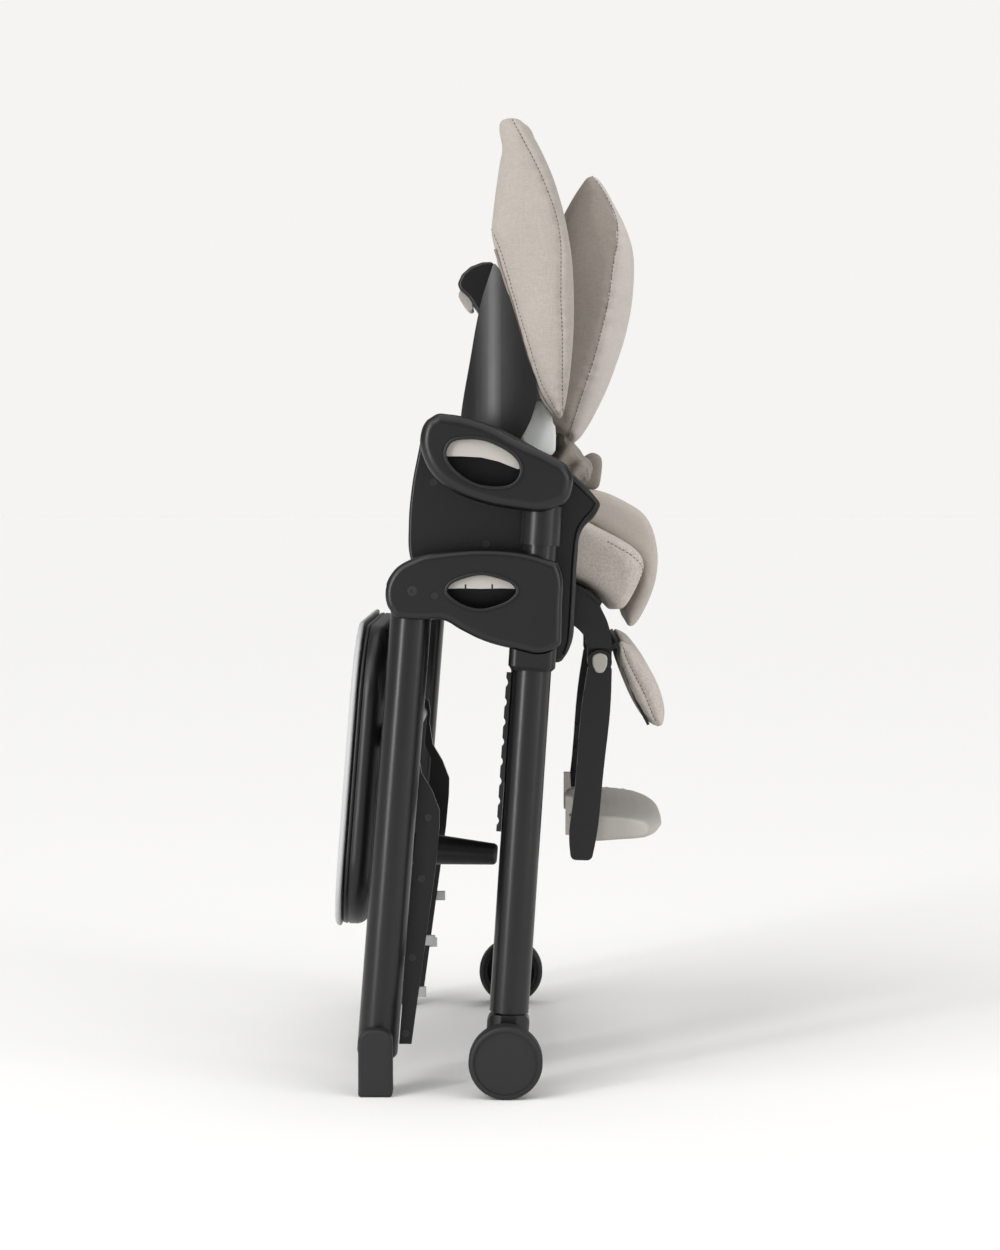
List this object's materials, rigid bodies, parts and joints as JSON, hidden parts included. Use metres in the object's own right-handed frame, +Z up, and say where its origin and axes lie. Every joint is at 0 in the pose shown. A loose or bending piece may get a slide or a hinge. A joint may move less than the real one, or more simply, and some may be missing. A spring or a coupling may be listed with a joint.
{
  "type": "baby high chair",
  "caption": "Folding baby high chair on telescopic legs, folded flat: reclining padded seat with infant insert, leg rest, and tray hung behind.",
  "frame": {"origin": "on the floor under the middle of the folded chair's box", "axes": "+Z up; -Y is the chair's front, where the child looks; +X is the child's left"},
  "size_m": [0.568, 0.3346, 0.9599],
  "materials": {
    "black_tube": "satin black powder coat",
    "steel": "blackened steel",
    "black_plastic": "soft-touch black",
    "wheel_rubber": "matt",
    "beige_plastic": "satin",
    "light_plastic": "satin",
    "taupe_plastic": "satin",
    "clear_plastic": "frosted translucent",
    "beige_fabric": "fine melange weave",
    "insert_fabric": "soft melange jersey",
    "seat_fabric": "wipeable fine weave",
    "webbing": "woven webbing"
  },
  "bodies": {
    "front_frame": {"front_leg_left": "black_tube", "front_leg_right": "black_tube", "front_crossbar": "black_tube", "wheel_housings": "black_plastic", "wheel_axles": "steel", "height_racks": "black_plastic", "leg_casing_outer_left": "black_plastic", "leg_casing_outer_right": "black_plastic", "leg_casings_inner": "black_plastic", "leg_collars": "black_plastic", "casing_screws": "steel", "rear_hinge_pins": "steel"},
    "wheel_left": {"wheel_tyre_left": "wheel_rubber", "wheel_hub_left": "black_plastic"},
    "fold_trigger_left": {"fold_trigger_left": "beige_plastic"},
    "height_trigger_left": {"height_trigger_left": "beige_plastic"},
    "leg_rest_button_left": {"leg_rest_button_left": "beige_plastic"},
    "wheel_right": {"wheel_tyre_right": "wheel_rubber", "wheel_hub_right": "black_plastic"},
    "fold_trigger_right": {"fold_trigger_right": "beige_plastic"},
    "height_trigger_right": {"height_trigger_right": "beige_plastic"},
    "leg_rest_button_right": {"leg_rest_button_right": "beige_plastic"},
    "rear_frame": {"rear_leg_left": "black_tube", "rear_leg_right": "black_tube", "rear_leg_caps": "black_plastic", "rear_feet": "wheel_rubber", "rear_crossbar": "black_tube"},
    "seat_carriage": {"inner_tubes": "black_tube", "armrest_outer_left": "black_plastic", "armrest_outer_right": "black_plastic", "armrests_inner": "black_plastic", "armrest_collars": "black_plastic", "seat_side_panels": "black_plastic", "panel_screws": "steel", "seat_pan": "black_plastic", "seat_cushion": "seat_fabric", "insert_seat_pad": "insert_fabric", "crotch_strap": "webbing", "harness_buckle": "black_plastic", "recline_pins": "steel", "leg_rest_brackets": "black_plastic", "leg_rest_pins": "steel"},
    "backrest": {"backrest_shell": "black_plastic", "back_cushion": "beige_fabric", "back_wings": "beige_fabric", "insert_back_pad": "insert_fabric", "insert_wings": "insert_fabric", "shoulder_straps": "webbing", "recline_grip": "black_plastic"},
    "recline_lever": {"recline_lever": "light_plastic"},
    "leg_rest": {"leg_rest_arms": "black_plastic", "leg_rest_panel": "black_plastic", "calf_cushion": "beige_fabric"},
    "footrest": {"footplate": "taupe_plastic", "footrest_clips": "light_plastic"},
    "tray": {"tray_shell": "black_plastic", "tray_arms": "black_plastic", "tray_arm_screws": "steel", "crotch_post": "black_plastic"},
    "tray_overlay": {"tray_overlay": "clear_plastic"}
  },
  "joints": [
    {"name": "wheel_left_spin", "type": "hinge", "parent": "front_frame", "child": "wheel_left", "pos_m": [0.272, -0.00551, 0.036], "axis": [1, 0, 0], "continuous": true},
    {"name": "wheel_right_spin", "type": "hinge", "parent": "front_frame", "child": "wheel_right", "pos_m": [-0.272, -0.00551, 0.036], "axis": [1, 0, 0], "continuous": true},
    {"name": "rear_leg_fold", "type": "hinge", "parent": "front_frame", "child": "rear_frame", "pos_m": [0, 0.08529, 0.492], "axis": [1, 0, 0], "range_deg": [0, 43]},
    {"name": "seat_height", "type": "slide", "parent": "front_frame", "child": "seat_carriage", "axis": [0, -0.0654, 0.9979], "range_m": [0, 0.24]},
    {"name": "backrest_recline", "type": "hinge", "parent": "seat_carriage", "child": "backrest", "pos_m": [0, 0.0395, 0.607], "axis": [-1, 0, 0], "range_deg": [0, 45]},
    {"name": "recline_lever_squeeze", "type": "slide", "parent": "backrest", "child": "recline_lever", "axis": [0, 0, 1], "range_m": [0, 0.003], "stiffness_N_per_m": 400},
    {"name": "leg_rest_angle", "type": "hinge", "parent": "seat_carriage", "child": "leg_rest", "pos_m": [0, -0.09831, 0.4175], "axis": [-1, 0, 0], "range_deg": [0, 50]},
    {"name": "footrest_height", "type": "slide", "parent": "leg_rest", "child": "footrest", "axis": [0, -0.086, 0.9963], "range_m": [0, 0.06]},
    {"name": "leg_rest_button_left_press", "type": "slide", "parent": "leg_rest", "child": "leg_rest_button_left", "axis": [-1, 0, 0], "range_m": [0, 0.003], "stiffness_N_per_m": 600},
    {"name": "height_trigger_left_pull", "type": "slide", "parent": "seat_carriage", "child": "height_trigger_left", "axis": [0, 0, 1], "range_m": [0, 0.005], "stiffness_N_per_m": 600},
    {"name": "fold_trigger_left_pull", "type": "slide", "parent": "front_frame", "child": "fold_trigger_left", "axis": [0, 0, 1], "range_m": [0, 0.005], "stiffness_N_per_m": 600},
    {"name": "leg_rest_button_right_press", "type": "slide", "parent": "leg_rest", "child": "leg_rest_button_right", "axis": [1, 0, 0], "range_m": [0, 0.003], "stiffness_N_per_m": 600},
    {"name": "height_trigger_right_pull", "type": "slide", "parent": "seat_carriage", "child": "height_trigger_right", "axis": [0, 0, 1], "range_m": [0, 0.005], "stiffness_N_per_m": 600},
    {"name": "fold_trigger_right_pull", "type": "slide", "parent": "front_frame", "child": "fold_trigger_right", "axis": [0, 0, 1], "range_m": [0, 0.005], "stiffness_N_per_m": 600},
    {"name": "tray_lift_off", "type": "slide", "parent": "rear_frame", "child": "tray", "axis": [0, -0.0785, 0.9969], "range_m": [0, 0.08]},
    {"name": "overlay_lift_off", "type": "slide", "parent": "tray", "child": "tray_overlay", "axis": [0, 0.9969, 0.0785], "range_m": [0, 0.05]}
  ]
}
